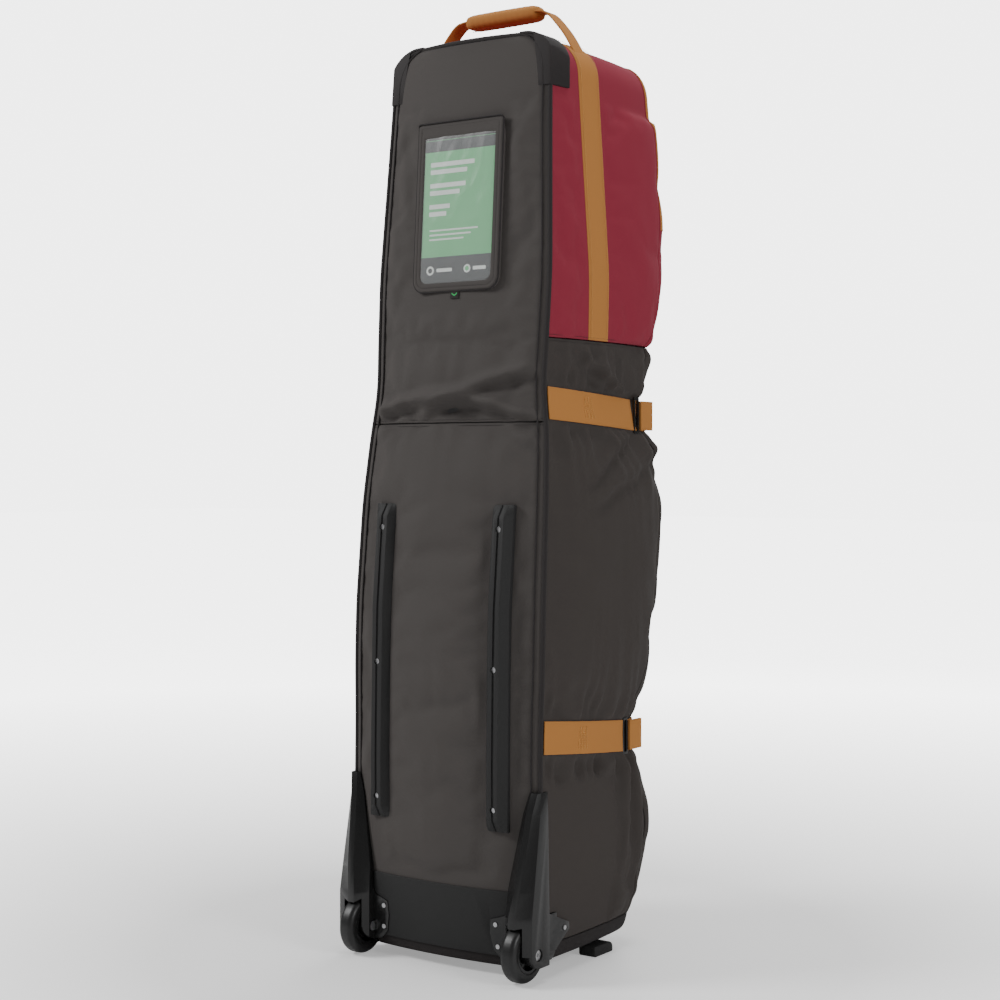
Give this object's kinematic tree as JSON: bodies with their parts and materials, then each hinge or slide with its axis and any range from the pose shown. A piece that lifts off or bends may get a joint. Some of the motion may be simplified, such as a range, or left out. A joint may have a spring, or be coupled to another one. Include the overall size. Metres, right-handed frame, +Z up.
{
  "type": "golf travel case",
  "caption": "Upright soft-sided travel cover for a golf bag, with inline wheels, moulded skid rails, a full-height zipped front, compression straps and a shipping label pocket.",
  "frame": {"origin": "on the ground at the centre of the whole box", "axes": "+Z up; -Y towards the padded back with the skid rails and wheels; +Y towards the zipped front; +X to the right seen from behind"},
  "size_m": [0.347, 0.4134, 1.351],
  "materials": {
    "back_cloth": "woven polyester with padding",
    "side_cloth": "woven polyester",
    "red_cloth": "woven polyester",
    "ochre_webbing": "ribbed webbing",
    "boot_cloth": "coated hard-wearing cloth",
    "trim_cloth": "binding and piping",
    "black_plastic": "moulded, semi-gloss",
    "rail_plastic": "moulded, satin",
    "tyre_rubber": "satin",
    "guard_rubber": "matte",
    "steel": "zinc plated",
    "clear_vinyl": "clear, wavy",
    "card": "printed card",
    "zip_metal": "painted, satin",
    "board": "sheet"
  },
  "bodies": {
    "shell": {"axle_bolt_left": "steel", "axle_bolt_right": "steel", "axle_nuts": "steel", "back_board": "board", "back_panel_lower": "back_cloth", "back_panel_upper": "back_cloth", "back_piping": "trim_cloth", "base_boot": "boot_cloth", "corner_guards": "guard_rubber", "front_foot_left": "rail_plastic", "front_foot_right": "rail_plastic", "front_surround_lower": "side_cloth", "front_surround_upper": "red_cloth", "grab_handle": "ochre_webbing", "housing_screws": "steel", "inner_buckle": "black_plastic", "inner_strap": "trim_cloth", "kick_plate": "rail_plastic", "label_frame": "back_cloth", "label_tag": "trim_cloth", "label_window": "clear_vinyl", "lower_strap_left": "ochre_webbing", "lower_strap_right": "ochre_webbing", "rail_rivets": "steel", "side_panel_lower_left": "side_cloth", "side_panel_lower_right": "side_cloth", "side_panel_upper_left": "red_cloth", "side_panel_upper_right": "red_cloth", "side_webbing_left": "ochre_webbing", "side_webbing_right": "ochre_webbing", "skid_rail_left": "rail_plastic", "skid_rail_right": "rail_plastic", "strap_rings": "black_plastic", "top_foam_pad": "side_cloth", "top_panel": "red_cloth", "upper_strap_left": "ochre_webbing", "upper_strap_right": "ochre_webbing", "wheel_housing_left": "black_plastic", "wheel_housing_right": "black_plastic", "zip_tape_outer": "trim_cloth"},
    "wheel_left": {"tyre_left": "tyre_rubber", "hub_left": "black_plastic", "bearings_left": "steel"},
    "wheel_right": {"tyre_right": "tyre_rubber", "hub_right": "black_plastic", "bearings_right": "steel"},
    "front_door": {"door_lower": "side_cloth", "door_upper": "red_cloth", "zip_tape_inner": "trim_cloth"},
    "zip_upper": {"zip_slider_upper": "zip_metal"},
    "zip_lower": {"zip_slider_lower": "zip_metal"},
    "pull_upper": {"zip_pull_upper": "zip_metal"},
    "pull_lower": {"zip_pull_lower": "zip_metal"},
    "handle": {"handle_grip": "ochre_webbing", "handle_webbing": "ochre_webbing"},
    "card": {"label_card": "card"},
    "strap_end_upper_left": {"upper_strap_tail_left": "ochre_webbing"},
    "strap_end_upper_right": {"upper_strap_tail_right": "ochre_webbing"},
    "strap_end_lower_left": {"lower_strap_tail_left": "ochre_webbing"},
    "strap_end_lower_right": {"lower_strap_tail_right": "ochre_webbing"}
  },
  "joints": [
    {"name": "wheel_left_spin", "type": "hinge", "parent": "shell", "child": "wheel_left", "pos_m": [-0.1382, -0.16672, 0.04], "axis": [1, 0, 0], "continuous": true},
    {"name": "wheel_right_spin", "type": "hinge", "parent": "shell", "child": "wheel_right", "pos_m": [0.1382, -0.16672, 0.04], "axis": [1, 0, 0], "continuous": true},
    {"name": "front_door_open", "type": "hinge", "parent": "shell", "child": "front_door", "pos_m": [0, 0.12023, 0.112], "axis": [-1, 0, 0], "range_deg": [0, 90]},
    {"name": "zip_upper_slide", "type": "slide", "parent": "front_door", "child": "zip_upper", "axis": [0, 0, 1], "range_m": [0, 0.1]},
    {"name": "zip_lower_slide", "type": "slide", "parent": "front_door", "child": "zip_lower", "axis": [0, 0, 1], "range_m": [-0.05, 0]},
    {"name": "pull_upper_swing", "type": "hinge", "parent": "zip_upper", "child": "pull_upper", "pos_m": [0.084, 0.20352, 1.06], "axis": [1, 0, 0], "range_deg": [0, 150]},
    {"name": "pull_lower_swing", "type": "hinge", "parent": "zip_lower", "child": "pull_lower", "pos_m": [0.092, 0.20352, 1.034], "axis": [1, 0, 0], "range_deg": [0, 150]},
    {"name": "handle_fold", "type": "hinge", "parent": "shell", "child": "handle", "pos_m": [0, -0.0087, 1.304], "axis": [1, 0, 0], "range_deg": [-60, 60]},
    {"name": "label_card_slide", "type": "slide", "parent": "shell", "child": "card", "axis": [0, 0.0655, 0.9979], "range_m": [0, 0.2]},
    {"name": "upper_strap_end_left_peel", "type": "hinge", "parent": "shell", "child": "strap_end_upper_left", "pos_m": [-0.15323, 0.11202, 0.764], "axis": [0, 0, 1], "range_deg": [0, 120]},
    {"name": "upper_strap_end_right_peel", "type": "hinge", "parent": "shell", "child": "strap_end_upper_right", "pos_m": [0.15323, 0.11202, 0.764], "axis": [0, 0, -1], "range_deg": [0, 120]},
    {"name": "lower_strap_end_left_peel", "type": "hinge", "parent": "shell", "child": "strap_end_lower_left", "pos_m": [-0.16066, 0.06778, 0.305], "axis": [0, 0, 1], "range_deg": [0, 120]},
    {"name": "lower_strap_end_right_peel", "type": "hinge", "parent": "shell", "child": "strap_end_lower_right", "pos_m": [0.16066, 0.06778, 0.305], "axis": [0, 0, -1], "range_deg": [0, 120]}
  ]
}
